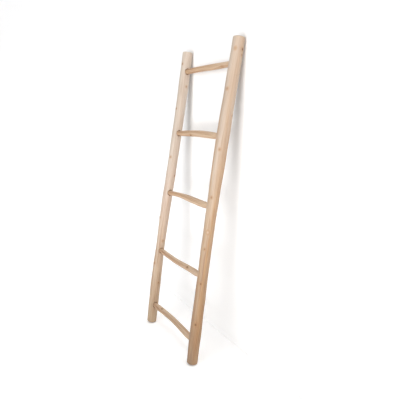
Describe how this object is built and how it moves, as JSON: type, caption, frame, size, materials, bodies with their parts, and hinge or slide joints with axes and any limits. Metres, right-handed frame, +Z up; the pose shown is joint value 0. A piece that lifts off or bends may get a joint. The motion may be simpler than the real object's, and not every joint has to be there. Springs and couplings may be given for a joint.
{
  "type": "leaning ladder rack",
  "caption": "Leaning ladder of natural round poles with branch rungs set in drilled sockets, for hanging quilts, blankets or towels.",
  "frame": {"origin": "on the floor, under the middle of the bounding box of the ladder as it leans", "axes": "+X along the rungs, to the right as seen from the room; +Y towards the wall that it leans on; +Z up"},
  "size_m": [0.557, 0.3162, 1.5923],
  "materials": {
    "pole_wood": "debarked, sanded and left unfinished, matt",
    "rung_wood": "debarked branch, whittled ends, unfinished, matt",
    "peg_wood": "whittled peg cut flush, unfinished, matt"
  },
  "bodies": {
    "root": {"pole_left": "pole_wood", "pole_right": "pole_wood", "rung_1": "rung_wood", "rung_1_peg_left": "peg_wood", "rung_1_peg_right": "peg_wood", "rung_2": "rung_wood", "rung_2_peg_left": "peg_wood", "rung_2_peg_right": "peg_wood", "rung_3": "rung_wood", "rung_3_peg_left": "peg_wood", "rung_3_peg_right": "peg_wood", "rung_4": "rung_wood", "rung_4_peg_left": "peg_wood", "rung_4_peg_right": "peg_wood", "rung_5": "rung_wood", "rung_5_peg_left": "peg_wood", "rung_5_peg_right": "peg_wood"}
  },
  "joints": []
}
